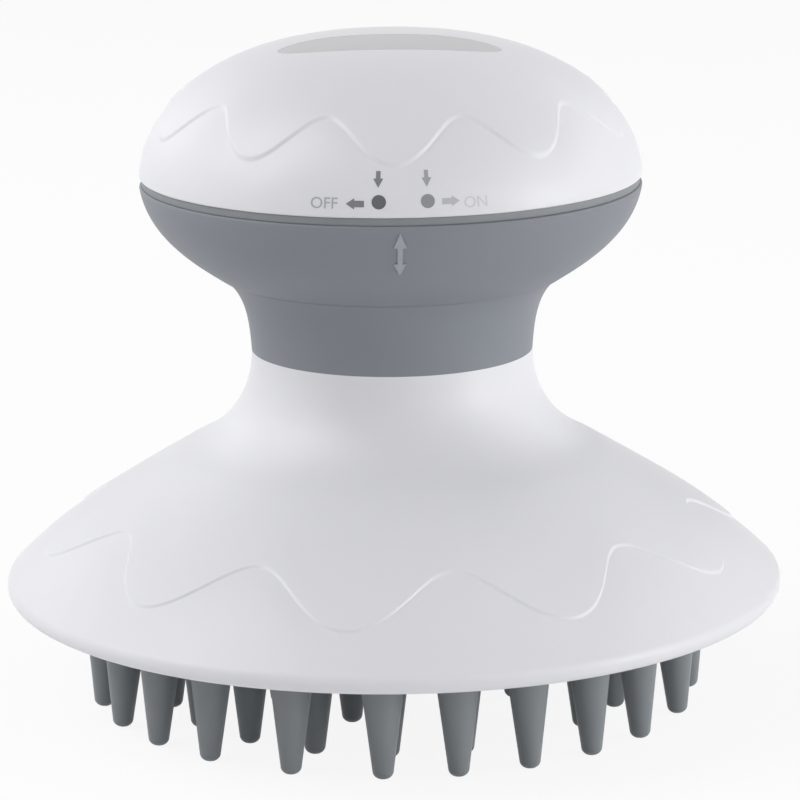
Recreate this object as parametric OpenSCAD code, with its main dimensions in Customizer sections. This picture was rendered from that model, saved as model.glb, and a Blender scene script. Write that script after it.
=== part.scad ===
// Electric scalp massager with a twist cap, a palm grip and a bell full of soft fingers.
// Millimetres, +Z up. The origin is on the vertical axis, in the plane of the finger tips.
// The index mark on the grip faces -Y.

/* [Outer form] */
// Diameter of the bell's rim
rim_d = 110; // [106:0.5:116]
// Height of the bell, from its rim to the grey neck
bell_h = 34.6; // [34.4:0.2:38]
// Diameter of the neck where it meets the bell
neck_d = 39.6; // [39.2:0.2:42]
// Height of the grey neck, up to the grip bowl
neck_h = 10.7; // [10:0.1:12]
// Diameter of the grip bowl's underside, at the crease
crease_d = 48.2; // [47:0.2:50]
// Height of the grip bowl, from the crease to the cap's seat
bowl_h = 13; // [12.6:0.2:15]
// Diameter of the grip bowl and the cap
cap_d = 70.2; // [69:0.2:74]
// Height of the cap's dome
cap_h = 19.5; // [19:0.1:22]

/* [Walls] */
// Wall of the bell
bell_wall = 2.2; // [1.8:0.1:2.4]
// Wall of the grip bowl
bowl_wall = 2.2; // [1.8:0.1:2.6]
// Wall of the cap's dome
cap_wall = 1.8; // [1.5:0.1:2]
// Rounding of the bell's rim
rim_edge_r = 1.6; // [1.2:0.1:1.8]
// Thickness of the floor inside the grip bowl
deck_t = 2; // [1.6:0.1:2.6]

/* [Twist cap] */
// Thickness of the rubber ring between the cap and the bowl
seal_t = 1.1; // [0.7:0.1:1.4]
// How far the rubber ring stands back from the outside
seal_inset = 0.3; // [0.2:0.1:1]
// Height of the collar that the cap slides over
collar_h = 5.5; // [5:0.1:5.8]
// Wall of that collar
collar_wall = 2.2; // [2:0.1:3]
// Play between the collar and the cap
cap_play = 0.4; // [0.3:0.05:0.6]
// Turn from the pose shown to OFF, in degrees
turn_to_off = 4.7; // [3:0.1:8]
// Turn from the pose shown to ON, in degrees
turn_to_on = 6.5; // [4:0.1:10]
// Width of a bayonet lug, in degrees
lug_w = 8; // [6:0.5:10]
// Height of a bayonet lug
lug_h = 1.6; // [1.2:0.1:1.8]
// Length of the oval plate on the cap
badge_l = 30.6; // [26:0.2:34]
// Width of the oval plate
badge_w = 10.6; // [9:0.2:13]
// Distance of the oval plate in front of the cap's centre
badge_off = 6; // [5:0.1:7]
// Thickness of the oval plate
badge_t = 0.6; // [0.4:0.1:0.8]

/* [Battery compartment] */
// Diameter of a cell
cell_d = 10.4; // [10.2:0.1:10.5]
// Length of a cell with its button
cell_len = 44.5; // [44:0.1:44.8]
// Play round a cell
cell_play = 0.2; // [0.15:0.05:0.3]
// Web between neighbouring cells
cell_web = 0.8; // [0.6:0.1:0.9]
// Outer wall of the battery tube
tube_wall = 1.5; // [1.2:0.1:1.6]
// Floor of the battery tube
tube_floor_t = 1.8; // [1.5:0.1:1.9]
// Depth of the battery tube below its flange
tube_drop = 25.2; // [24.4:0.1:25.4]
// Width of the battery tube's flange
flange_w = 7.2; // [7:0.1:7.6]
// Thickness of that flange
flange_t = 1.8; // [1.5:0.1:2.4]
// Height of a contact spring with its cell in place
spring_h = 2.3; // [2:0.1:2.6]
// Thickness of a contact strip
strip_t = 0.4; // [0.3:0.05:0.5]
// Thickness of the contact lid
lid_t = 2; // [1.8:0.1:2.2]

/* [Neck joint] */
// Wall of the spigot under the neck
spigot_wall = 1.9; // [1.6:0.1:2]
// Height of the ring nut under the bell's neck
nut_h = 3.4; // [2.8:0.1:3.6]
// Wall of the ring nut
nut_wall = 2.4; // [2:0.1:2.8]
// Depth of the bell's neck bore
neck_bore_h = 9; // [8.6:0.1:9.2]

/* [Motor] */
// Diameter of the motor can
motor_d = 24; // [22:0.5:26]
// Length of the motor can
motor_len = 11; // [10:0.1:11.6]
// Sheet of the motor can
can_wall = 0.8; // [0.6:0.1:1]
// Diameter of the motor shaft
shaft_d = 2; // [1.8:0.1:2.4]
// Radius of the eccentric weight
weight_r = 7.5; // [6:0.1:8.5]
// Height of the eccentric weight
weight_h = 4; // [3:0.1:4.2]
// Distance of the clamp screws from the axis
clamp_screw_r = 17; // [16.5:0.1:20]

/* [Base] */
// Thickness of the base plate
plate_t = 1.8; // [1.6:0.1:2.4]
// Thickness of the rubber pad's sheet
pad_t = 1.5; // [1.2:0.1:2]
// Distance of the base screws from the axis
base_screw_r = 36; // [34:0.5:38]
// Number of push-in plugs on the pad
plug_count = 6; // [4:1:8]
// Distance of the plugs from the axis
plug_ring_r = 25.3; // [24:0.1:27]

/* [Fingers] */
// Length of a finger below the bell's rim
finger_reach = 15.4; // [13:0.2:18]
// Diameter of a finger at the pad
finger_d = 6.6; // [5:0.1:7]
// Diameter of a finger's round tip
tip_d = 2.9; // [2.4:0.1:3.4]
// Depth worn flat off each tip
tip_flat = 0.3; // [0.2:0.05:0.5]
// Outward lean of the outer fingers, in degrees
outer_lean = 2.5; // [0:0.5:4]
// Radius of the outer ring of fingers
outer_ring_r = 41.4; // [40:0.1:43]
// Distance from the outer ring in to the middle ring
ring_step = 8.9; // [8.4:0.1:10]
// Radius of the inner ring
inner_ring_r = 18; // [15:0.5:21]
// Angle between fingers in an outer group, in degrees
outer_step = 13.9; // [12.5:0.1:15]
// Number of middle fingers
middle_count = 20; // [12:1:22]
// Number of inner fingers
inner_count = 8; // [5:1:12]

/* [Hidden] */

// Clearances
fit = 0.1;          // a fixed piece in its hole
run_fit = 0.05;     // a turning shaft in its bore
free_gap = 0.3;     // curved faces that must not rub
eps = 0.01;         // lets a cutter pass through a face

// Radii of the outer form
rim_r = rim_d / 2;
neck_r = neck_d / 2;
crease_r = crease_d / 2;
cap_r = cap_d / 2;

// Heights of the outer form
rim_z = finger_reach;
neck_z = rim_z + bell_h;
deck_z = neck_z + neck_h;
seat_z = deck_z + bowl_h;
cap_z = seat_z + seal_t;
top_z = cap_z + cap_h;

// Twist cap
collar_inset = 3.5;
collar_r = cap_r - collar_inset;
collar_top_z = seat_z + collar_h;
cap_bore_r = collar_r + cap_play;
lug_z = cap_z + 0.8;
lug_reach = 1.1;
groove_depth = 1;
lug_play_deg = 0.6;
lug_angles = [30, 150, 270];

// Battery compartment
cell_r = cell_d / 2;
cell_bore_r = cell_r + cell_play;
cell_off = cell_bore_r + cell_web / 2;
tube_r = cell_off * sqrt(2) + cell_bore_r + tube_wall;
flange_z = deck_z + deck_t;
floor_z = flange_z - tube_drop;
floor_top_z = floor_z + tube_floor_t;
cell_z = floor_top_z + strip_t + spring_h;
cell_top_z = cell_z + cell_len;
cell_show = 2;
button_h = 1;
button_r = 2.6;
tube_top_z = cell_top_z - cell_show;
lid_z = cell_top_z + strip_t * 2;
lid_top_z = lid_z + lid_t;
lid_r = tube_r + fit;
key_w = 4;
key_t = 1.2;
key_drop = 7;
key_rib_t = 1.4;
spring_wire_r = 0.25;
spring_turns = 3;
cell_signs = [[1, 1], [1, -1], [-1, -1], [-1, 1]];

// Contact lid and its screw
lid_head_r = 2.1;
lid_head_h = 1;
lid_shoulder_r = 1.5;
lid_thread_r = 1.1;
lid_thread_l = 2.2;
boss_gap = 0.2;
boss_r = 3.2;
pad_ring_r = 9.5;
pad_contact_t = 0.3;
pad_contact_r = 1.5;
pad_angle = 16;
wiper_t = 0.4;
wiper_w = 2.6;
wiper_lift = 0.5;
wiper_z = lid_top_z + pad_contact_t + wiper_lift;
lid_room = 0.2;

// Neck joint
bore_r = neck_r - bell_wall;
spigot_r = bore_r - fit;
spigot_in_r = spigot_r - spigot_wall;
spigot_root = 2;
neck_wall = 2.6;
neck_step = 0.4;
nut_seat_z = neck_z - neck_bore_h;
nut_r = bore_r + nut_wall;
spigot_z = nut_seat_z - nut_h - 1;
nut_slot_w = 3;

// Screws that hold the tube, the bowl and the neck together
house_screw_r = 1.25;
house_head_r = 2.3;
house_head_h = 1.5;
house_bite = 7;
house_boss_r = 2.6;
house_ring_r = spigot_in_r + house_boss_r + 0.4;
flange_play = 0.5;

// Base
pad_step = 0.5;
plate_play = 0.5;
lip_w = 0.3;
pad_z = rim_z + pad_step;
plate_z = pad_z + pad_t;
plate_top_z = plate_z + plate_t;
base_cup_h = 1.8;
base_boss_z = plate_top_z + base_cup_h;
base_boss_r = 3.2;
base_screw_shank_r = 1.3;
base_head_r = 2.6;
base_head_h = 1.5;
base_bite = 6;
plug_r = 1.5;
plug_head_r = 2.4;
plug_head_h = 1.2;

// Motor, standing on the base plate with its shaft up
motor_r = motor_d / 2;
motor_z = plate_top_z;
motor_top_z = motor_z + motor_len;
motor_cup_h = 4.8;
motor_cup_wall = 1.5;
bush_r = 3;
bush_h = 1;
clamp_t = 1.2;
clamp_boss_r = 2.8;
clamp_screw_shank_r = 1.1;
clamp_head_r = 2.1;
clamp_head_h = 1.3;
clamp_bite = 6;
weight_gap = 0.6;
weight_z = motor_top_z + max(bush_h, clamp_t) + weight_gap;
hub_r = 2.8;
endcap_t = 1.6;
tag_w = 2;
tag_t = 0.5;
tag_x = 4;
tag_z = motor_z + 0.8;
tag_out = 2.4;
tag_gate_w = 7.5;
magnet_t = 1.9;
magnet_gap = 0.5;
magnet_span = 140;
pole_count = 3;
pole_slot_w = 1.6;
lead_r = 0.6;

$fn = 72;

// ---------- shared shapes ----------

// Point on a cubic curve with end points a, d and handles b, c
function bezier(a, b, c, d, t) =
    a * pow(1 - t, 3) + b * 3 * t * pow(1 - t, 2) + c * 3 * t * t * (1 - t) + d * pow(t, 3);

// Direction of travel along the same curve
function bezier_dir(a, b, c, d, t) =
    (b - a) * pow(1 - t, 2) + (c - b) * 2 * t * (1 - t) + (d - c) * t * t;

function unit(v) = v / norm(v);
function turned(v, angle) = [v[0] * cos(angle) - v[1] * sin(angle), v[0] * sin(angle) + v[1] * cos(angle)];
function slope(angle) = [cos(angle), -sin(angle)];

// Radius of an outline at a height
function radius_at(outline, z) = lookup(z, [for (p = outline) [p[1], p[0]]]);

// Outline of a dome: radius r at height z0, closing at height z0 + h
function dome_points(r, h, z0) =
    [for (a = [0:6:90]) let (t = sin(a)) [r * pow(max(0, 1 - pow(t, 1.84)), 1 / 2.61), z0 + h * t]];

module tube(r_out, r_in, h) {
    difference() {
        cylinder(r = r_out, h = h);
        translate([0, 0, -eps])
            cylinder(r = r_in, h = h + 2 * eps);
    }
}

module around(angles) {
    for (a = angles)
        rotate([0, 0, a])
            children();
}

// Pan-head screw, its head standing on z = 0 and its shank below
module pan_screw(head_r, head_h, shank_r, shank_l) {
    slot_w = head_r * 0.3;
    difference() {
        union() {
            cylinder(r = head_r, h = head_h);
            translate([0, 0, -shank_l])
                cylinder(r = shank_r, h = shank_l + eps);
        }
        for (a = [0, 90])
            rotate([0, 0, a])
                translate([-head_r * 0.6, -slot_w / 2, head_h * 0.5])
                    cube([head_r * 1.2, slot_w, head_h]);
    }
}

// Round wire of radius r through the points of a path; side is never parallel to the path
module wire(path, r, side, sides = 6) {
    n = len(path);
    rings = [
        for (i = [0:n - 1])
            let (t = unit(path[min(i + 1, n - 1)] - path[max(i - 1, 0)]))
            let (u = unit(cross(t, side)))
            let (v = cross(t, u))
            for (k = [0:sides - 1])
                path[i] + r * (u * cos(360 * k / sides) + v * sin(360 * k / sides))
    ];
    walls = [
        for (i = [0:n - 2])
            for (k = [0:sides - 1])
                let (a = i * sides + k)
                let (b = i * sides + (k + 1) % sides)
                for (face = [[a, a + sides, b + sides], [a, b + sides, b]])
                    face
    ];
    first = [for (k = [1:sides - 2]) [0, k, k + 1]];
    last = [for (k = [1:sides - 2]) [(n - 1) * sides, (n - 1) * sides + k + 1, (n - 1) * sides + k]];
    polyhedron(points = rings, faces = concat(walls, first, last), convexity = 4);
}

// ---------- outlines ----------

// Outside of the bell, from the neck down to the rim
flare = rim_r - neck_r;
rim_centre = [rim_r - rim_edge_r, rim_z + rim_edge_r];
rim_start_angle = 46;
flank_top = [neck_r + flare * 0.2955, rim_z + bell_h * 0.581];
flank_end = rim_centre + rim_edge_r * [cos(rim_start_angle), sin(rim_start_angle)];
fillet_start = [neck_r, neck_z];
fillet_start_handle = fillet_start - [0, bell_h * 0.3035];
fillet_end_handle = flank_top - slope(31) * flare * 0.0568;
flank_top_handle = flank_top + slope(31) * flare * 0.5114;
flank_end_handle = flank_end - slope(44) * flare * 0.2273;
function fillet(t) = bezier(fillet_start, fillet_start_handle, fillet_end_handle, flank_top, t);
function fillet_dir(t) = bezier_dir(fillet_start, fillet_start_handle, fillet_end_handle, flank_top, t);
function flank(t) = bezier(flank_top, flank_top_handle, flank_end_handle, flank_end, t);
function flank_dir(t) = bezier_dir(flank_top, flank_top_handle, flank_end_handle, flank_end, t);
function inward(dir) = turned(unit(dir), -90) * bell_wall;

bell_outer = concat(
    [for (t = [0:0.1:1]) fillet(t)],
    [for (t = [0.1:0.1:0.9]) flank(t)],
    [for (a = [rim_start_angle:-17:-90]) rim_centre + rim_edge_r * [cos(a), sin(a)]]
);
bell_inner = concat(
    [for (t = [0:0.1:1]) fillet(t) + inward(fillet_dir(t))],
    [for (t = [0.1:0.1:1]) flank(t) + inward(flank_dir(t))]
);
nut_room_r = nut_r + free_gap;
bell_cavity = [
    for (p = bell_inner)
        if (p[1] < nut_seat_z)
            [max(p[0], p[1] > spigot_z ? nut_room_r : 0), p[1]]
];
nut_seat_r = max(radius_at(bell_inner, nut_seat_z), nut_room_r);
lip_r = bell_inner[len(bell_inner) - 1][0] - lip_w;
plate_r = radius_at(bell_inner, plate_top_z) - plate_play;
pad_r = min(lip_r, radius_at(bell_inner, plate_z)) - free_gap;

// Outside of the neck and of the grip bowl
bowl_lip = 0.3;
bowl_edge_r = 0.3;
neck_top_r = crease_r - bowl_lip;
neck_low_handle = [(neck_top_r - neck_r) * 0.08, neck_h * 0.43];
neck_high_handle = [(neck_top_r - neck_r) * 0.79, neck_h * 0.23];
neck_outer = [
    for (t = [0:0.125:1])
        bezier([neck_r, neck_z], [neck_r, neck_z] + neck_low_handle,
               [neck_top_r, deck_z] - neck_high_handle, [neck_top_r, deck_z], t)
];
bowl_edge = [cap_r, seat_z - bowl_edge_r];
bowl_start = [crease_r, deck_z];
bowl_start_handle = bowl_start + [(cap_r - crease_r) * 0.378, bowl_h * 0.2077];
bowl_edge_handle = [cap_r - (cap_r - crease_r) * 0.0956, deck_z + bowl_h * 0.4854];
function bowl_curve(t) = bezier(bowl_start, bowl_start_handle, bowl_edge_handle, bowl_edge, t);
function bowl_dir(t) = bezier_dir(bowl_start, bowl_start_handle, bowl_edge_handle, bowl_edge, t);
bowl_outer = [for (t = [0:0.1:1]) bowl_curve(t)];
bowl_inner = [for (t = [0:0.1:1]) bowl_curve(t) + turned(unit(bowl_dir(t)), 90) * bowl_wall];
flange_r = min(tube_r + flange_w, radius_at(bowl_inner, flange_z) - flange_play);

module bell_solid() {
    rotate_extrude()
        polygon(concat([[0, neck_z]], bell_outer, [[0, rim_z]]));
}

module neck_solid() {
    rotate_extrude()
        polygon(concat([[0, neck_z]], neck_outer, [[0, deck_z]]));
}

// ---------- twist cap ----------

module badge_outline(grow) {
    polygon([
        for (a = [0:9:351])
            [(badge_l / 2 + grow) * cos(a), (badge_w / 2 + grow) * sin(a) - badge_off]
    ]);
}

module dome(r, h, z0) {
    rotate_extrude()
        polygon(concat([[0, z0]], dome_points(r, h, z0)));
}

cap_inner_top_z = top_z - cap_wall - badge_t / 2;
cap_inner_points = dome_points(cap_r - cap_wall, cap_inner_top_z - cap_z, cap_z);

module cap_shell() {
    shoulder_z = lookup(-cap_bore_r, [for (p = cap_inner_points) [-p[0], p[1]]]);
    color("#E6E6EA")
    difference() {
        union() {
            difference() {
                dome(cap_r, cap_h, cap_z);
                rotate_extrude()
                    polygon(concat(
                        [[0, cap_z - eps], [cap_bore_r, cap_z - eps], [cap_bore_r, shoulder_z]],
                        [for (p = cap_inner_points) if (p[0] < cap_bore_r - 0.05) p]
                    ));
                translate([0, 0, cap_z])
                    cylinder(r = lid_r + key_t + free_gap, h = lid_top_z + lid_room - cap_z);
                translate([0, 0, cap_z])
                    tube(pad_ring_r + wiper_w / 2 + free_gap, pad_ring_r - wiper_w / 2 - free_gap,
                         wiper_z + wiper_t + lid_room - cap_z);
            }
            around(lug_angles)
                rotate([0, 0, -lug_w / 2])
                    rotate_extrude(angle = lug_w)
                        translate([cap_bore_r - lug_reach, lug_z])
                            square([lug_reach + 0.6, lug_h]);
            intersection() {
                translate([0, 0, lid_top_z + boss_gap])
                    cylinder(r = boss_r, h = cap_h);
                dome(cap_r - cap_wall / 2, cap_h - cap_wall, cap_z);
            }
            intersection() {
                wiper_posts(wiper_z + wiper_t, 0.9);
                dome(cap_r - cap_wall / 2, cap_h - cap_wall, cap_z);
            }
        }
        translate([0, 0, lid_top_z])
            cylinder(r = lid_thread_r + fit, h = lid_thread_l + boss_gap + fit);
        difference() {
            translate([0, 0, cap_z + 1])
                linear_extrude(cap_h)
                    badge_outline(fit);
            dome(cap_r - badge_t, cap_h - badge_t, cap_z);
        }
    }
}

// The two short posts that the wiper strip hangs from, drawn down to height z
module wiper_posts(z, r) {
    around([-40, 40])
        translate([0, pad_ring_r, z])
            cylinder(r = r, h = cap_h);
}

module badge_plate() {
    color("#C8C8CA")
    intersection() {
        translate([0, 0, cap_z + 1])
            linear_extrude(cap_h)
                badge_outline(0);
        difference() {
            dome(cap_r, cap_h, cap_z);
            dome(cap_r - badge_t, cap_h - badge_t, cap_z);
        }
    }
}

// Spring strip under the dome, with a dimple at each end that reaches down to the pads
module switch_wiper() {
    reach = wiper_z - lid_top_z - pad_contact_t - 0.2;
    color("#B08D57")
    union() {
        rotate([0, 0, 90 - 46])
            rotate_extrude(angle = 92)
                translate([pad_ring_r - wiper_w / 2, wiper_z])
                    square([wiper_w, wiper_t]);
        around([-pad_angle, pad_angle])
            translate([0, pad_ring_r, wiper_z - reach])
                cylinder(r = 0.8, h = reach + eps);
    }
}

module lid_screw() {
    head_z = lid_z + 0.1;
    color("#9A9CA0")
    union() {
        translate([0, 0, head_z])
            cylinder(r = lid_head_r, h = lid_head_h);
        translate([0, 0, head_z + lid_head_h - eps])
            cylinder(r = lid_shoulder_r, h = lid_top_z + boss_gap - head_z - lid_head_h + eps);
        translate([0, 0, lid_top_z + boss_gap - eps])
            cylinder(r = lid_thread_r, h = lid_thread_l);
    }
}

// ---------- contact lid, which lifts with the cap but doesn't turn ----------

module contact_lid() {
    head_room = lid_head_h + 0.2;
    color("#3A3C40")
    difference() {
        union() {
            translate([0, 0, lid_z])
                cylinder(r = lid_r, h = lid_t);
            around([0, 180])
                translate([lid_r - 0.6, -key_w / 2, lid_z - key_drop])
                    difference() {
                        cube([key_t + 0.6, key_w, key_drop + lid_t]);
                        translate([-eps, -eps, -eps])
                            cube([0.6 + eps, key_w + 2 * eps, key_drop]);
                    }
        }
        translate([0, 0, lid_z - eps])
            cylinder(r = lid_head_r + free_gap, h = head_room + eps);
        translate([0, 0, lid_z])
            cylinder(r = lid_shoulder_r + run_fit, h = lid_t + 1);
    }
}

module lid_bridges() {
    color("#C9C4B4")
    for (side = [-1, 1])
        translate([side * cell_off - 3, -cell_off - 3, lid_z - strip_t])
            cube([6, 2 * cell_off + 6, strip_t]);
}

module switch_pads() {
    color("#C9A14A")
    around([-pad_angle, pad_angle])
        translate([0, pad_ring_r, lid_top_z])
            cylinder(r = pad_contact_r, h = pad_contact_t);
}

// ---------- grip and neck ----------

module cap_seal() {
    color("#4A4D51")
    translate([0, 0, seat_z])
        tube(cap_r - seal_inset, collar_r + fit, seal_t);
}

// Slots that let the cap's lugs in at OFF and hold them at ON
module bayonet_slots() {
    low = -lug_w / 2 - lug_play_deg;
    high = turn_to_off + lug_w / 2 + lug_play_deg;
    groove_z = lug_z - 0.3;
    groove_h = lug_h + 0.6;
    around(lug_angles) {
        rotate([0, 0, low - turn_to_on])
            rotate_extrude(angle = high - low + turn_to_on)
                translate([collar_r - groove_depth - free_gap, groove_z])
                    square([groove_depth + 1, groove_h]);
        rotate([0, 0, low])
            rotate_extrude(angle = high - low)
                translate([collar_r - groove_depth - free_gap, groove_z])
                    square([groove_depth + 1, collar_h]);
    }
}

module house_screw_places() {
    around([45, 135, 225, 315])
        translate([house_ring_r, 0, 0])
            children();
}

module grip_bowl() {
    land_z = seat_z - 2;
    inner = [for (p = bowl_inner) if (p[1] > flange_z && p[1] < land_z - 1.5) p];
    deck_in_r = tube_r + free_gap;
    color("#7B7F84")
    difference() {
        rotate_extrude()
            polygon(concat(
                bowl_outer,
                [[cap_r - bowl_edge_r, seat_z], [collar_r, seat_z], [collar_r, collar_top_z],
                 [collar_r - collar_wall, collar_top_z], [collar_r - collar_wall, land_z]],
                [for (i = [len(inner) - 1:-1:0]) inner[i]],
                [[radius_at(bowl_inner, flange_z), flange_z], [deck_in_r, flange_z], [deck_in_r, deck_z]]
            ));
        bayonet_slots();
        house_screw_places()
            translate([0, 0, deck_z - eps])
                cylinder(r = house_screw_r + fit, h = deck_t + 2 * eps);
    }
}

module neck_collar() {
    boss_h = house_bite + 1.7;
    color("#73777C")
    difference() {
        union() {
            difference() {
                neck_solid();
                translate([0, 0, neck_z - eps])
                    cylinder(r1 = bore_r - neck_step, r2 = neck_top_r - neck_wall, h = neck_h + 2 * eps);
            }
            translate([0, 0, spigot_z])
                tube(spigot_r, spigot_in_r, neck_z - spigot_z + spigot_root);
            intersection() {
                house_screw_places()
                    translate([0, 0, deck_z - boss_h])
                        cylinder(r = house_boss_r, h = boss_h);
                neck_solid();
            }
        }
        house_screw_places()
            translate([0, 0, deck_z - house_bite - 1])
                cylinder(r = house_screw_r + fit / 2, h = house_bite + 2);
    }
}

module neck_nut() {
    color("#5A5E63")
    translate([0, 0, nut_seat_z - nut_h])
        difference() {
            tube(nut_r, bore_r, nut_h);
            around([0, 90, 180, 270])
                translate([nut_r - 1, -nut_slot_w / 2, -eps])
                    cube([2, nut_slot_w, 1.4]);
        }
}

module housing_screws() {
    color("#A6A8AC")
    house_screw_places()
        translate([0, 0, flange_z + flange_t])
            pan_screw(house_head_r, house_head_h, house_screw_r, flange_t + deck_t + house_bite);
}

// ---------- battery compartment ----------

module cell_places() {
    for (s = cell_signs)
        translate([s[0] * cell_off, s[1] * cell_off, 0])
            children();
}

module battery_tube() {
    tag_slot_y = cell_off + cell_bore_r * 0.75;
    color("#2E3034")
    difference() {
        union() {
            translate([0, 0, floor_z])
                cylinder(r = tube_r, h = tube_top_z - floor_z);
            translate([0, 0, flange_z])
                cylinder(r = flange_r, h = flange_t);
            around([0, 180])
                for (side = [-1, 1])
                    translate([tube_r - 0.5, side * (key_w / 2 + free_gap + key_rib_t / 2) - key_rib_t / 2,
                               lid_z - key_drop - 3])
                        cube([key_t + 0.5, key_rib_t, tube_top_z - lid_z + key_drop + 3]);
        }
        cell_places()
            translate([0, 0, floor_top_z])
                cylinder(r = cell_bore_r, h = cell_len + 10);
        for (side = [-1, 1])
            translate([side * cell_off - tag_w / 2 - fit, tag_slot_y - tag_t / 2 - fit, floor_z - eps])
                cube([tag_w + 2 * fit, tag_t + 2 * fit, tube_floor_t + 2 * eps]);
        house_screw_places()
            translate([0, 0, flange_z - eps])
                cylinder(r = house_screw_r + fit, h = flange_t + 2 * eps);
    }
}

// Neighbouring cells stand opposite ways up, so only two of the four have their button on top
module battery_cells() {
    color("#3F6E9A")
    for (i = [0:3])
        translate([cell_signs[i][0] * cell_off, cell_signs[i][1] * cell_off, cell_z]) {
            is_up = i % 2 == 0;
            translate([0, 0, is_up ? 0 : button_h])
                cylinder(r = cell_r, h = cell_len - button_h);
            translate([0, 0, is_up ? cell_len - button_h - eps : 0])
                cylinder(r = button_r, h = button_h + eps);
        }
}

// Three open turns that narrow towards the cell
module cell_springs() {
    steps = spring_turns * 8;
    foot_r = 3.6;
    head_r = 2;
    rise = spring_h - 2 * spring_wire_r;
    color("#C7C9CC")
    cell_places()
        translate([0, 0, floor_top_z + strip_t + spring_wire_r])
            wire([
                for (i = [0:steps])
                    let (a = 360 * spring_turns * i / steps)
                    let (r = foot_r + (head_r - foot_r) * i / steps)
                    [r * cos(a), r * sin(a), rise * i / steps]
            ], spring_wire_r, [0, 0, 1]);
}

module floor_contacts() {
    tag_slot_y = cell_off + cell_bore_r * 0.75;
    tag_drop = tube_floor_t + 1.8;
    color("#C9C4B4")
    union() {
        for (side = [-1, 1]) {
            translate([side * cell_off, cell_off, floor_top_z])
                cylinder(r = 4.2, h = strip_t);
            translate([side * cell_off - tag_w / 2, cell_off, floor_top_z])
                cube([tag_w, tag_slot_y - cell_off + tag_t / 2, strip_t]);
            translate([side * cell_off - tag_w / 2, tag_slot_y - tag_t / 2, floor_top_z - tag_drop])
                cube([tag_w, tag_t, tag_drop + strip_t]);
            translate([side * cell_off, -cell_off, floor_top_z])
                cylinder(r = 4.2, h = strip_t);
        }
    }
}

// Two short wires from the compartment's tags to the motor's tags
module motor_leads() {
    tag_slot_y = cell_off + cell_bore_r * 0.75;
    top_z_end = floor_top_z - tube_floor_t - 1.8;
    start_y = tag_slot_y + tag_t / 2 + lead_r + fit;
    bow_y = motor_r + motor_cup_wall + lead_r + 1.6;
    end_y = motor_r + tag_out + lead_r + fit;
    for (side = [-1, 1])
        color(side > 0 ? "#B4322C" : "#222222")
        wire([
            for (t = [0:0.0625:1])
                bezier([side * cell_off, start_y, top_z_end + 1.2],
                       [side * cell_off, start_y + 1.5, top_z_end - 6],
                       [side * (tag_x + 0.6), bow_y + 5.5, tag_z + 5],
                       [side * tag_x, end_y, tag_z + tag_t / 2], t)
        ], lead_r, [1, 0, 0]);
}

// ---------- bell and base ----------

module base_screw_places() {
    around([45, 135, 225, 315])
        translate([base_screw_r, 0, 0])
            children();
}

module skirt_shell() {
    last = bell_inner[len(bell_inner) - 1];
    color("#E2E2E6")
    difference() {
        union() {
            rotate_extrude()
                polygon(concat(
                    bell_outer,
                    [[lip_r, rim_z], [last[0], last[1]]],
                    [for (i = [len(bell_cavity) - 2:-1:0]) bell_cavity[i]],
                    [[nut_seat_r, nut_seat_z], [bore_r, nut_seat_z], [bore_r, neck_z]]
                ));
            intersection() {
                base_screw_places()
                    translate([0, 0, base_boss_z])
                        cylinder(r = base_boss_r, h = bell_h);
                bell_solid();
            }
        }
        base_screw_places()
            translate([0, 0, base_boss_z - eps])
                cylinder(r = base_screw_shank_r + fit / 2, h = base_bite + 0.6);
    }
}

module plug_places() {
    around([for (i = [0:plug_count - 1]) 360 * i / plug_count])
        translate([0, plug_ring_r, 0])
            children();
}

module base_plate() {
    rib_h = 1.8;
    ring_h = 1.2;
    cup_r = motor_r + fit;
    rib_in = cup_r + motor_cup_wall - 0.2;
    rib_out = min(plate_r - 1.6, radius_at(bell_inner, plate_top_z + rib_h) - plate_play);
    ring_out = min(plate_r - 1, radius_at(bell_inner, plate_top_z + ring_h) - plate_play);
    color("#8A8E93")
    difference() {
        union() {
            translate([0, 0, plate_z])
                cylinder(r = plate_r, h = plate_t);
            translate([0, 0, plate_top_z - eps])
                difference() {
                    tube(cup_r + motor_cup_wall, cup_r, motor_cup_h + eps);
                    translate([-tag_gate_w, 0, eps])
                        cube([2 * tag_gate_w, cup_r + 5, motor_cup_h + 1]);
                }
            translate([0, 0, plate_top_z - eps])
                tube(ring_out, ring_out - 1.4, ring_h);
            around([0, 45, 135, 180, 225, 315])
                translate([rib_in, -0.6, plate_top_z - eps])
                    cube([rib_out - rib_in, 1.2, rib_h]);
            base_screw_places()
                translate([0, 0, plate_z])
                    cylinder(r = base_head_r + 1.8, h = base_boss_z - plate_z);
            for (side = [-1, 1])
                translate([side * clamp_screw_r, 0, plate_top_z - eps])
                    cylinder(r = clamp_boss_r, h = motor_len + eps);
        }
        base_screw_places() {
            translate([0, 0, plate_z - eps])
                cylinder(r = base_head_r + 0.2, h = base_head_h + 0.2 + eps);
            translate([0, 0, plate_z])
                cylinder(r = base_screw_shank_r + fit, h = 2 * base_cup_h + plate_t);
        }
        for (side = [-1, 1])
            translate([side * clamp_screw_r, 0, motor_top_z - clamp_bite - 0.6])
                cylinder(r = clamp_screw_shank_r + fit / 2, h = clamp_bite + 2);
        plug_places()
            translate([0, 0, plate_z - eps])
                cylinder(r = plug_r + fit, h = plate_t + 2);
    }
}

module base_screws() {
    head_z = plate_z + base_head_h + 0.2;
    color("#A6A8AC")
    base_screw_places()
        translate([0, 0, head_z])
            mirror([0, 0, 1])
                pan_screw(base_head_r, base_head_h, base_screw_shank_r, base_boss_z - head_z + base_bite);
}

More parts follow.
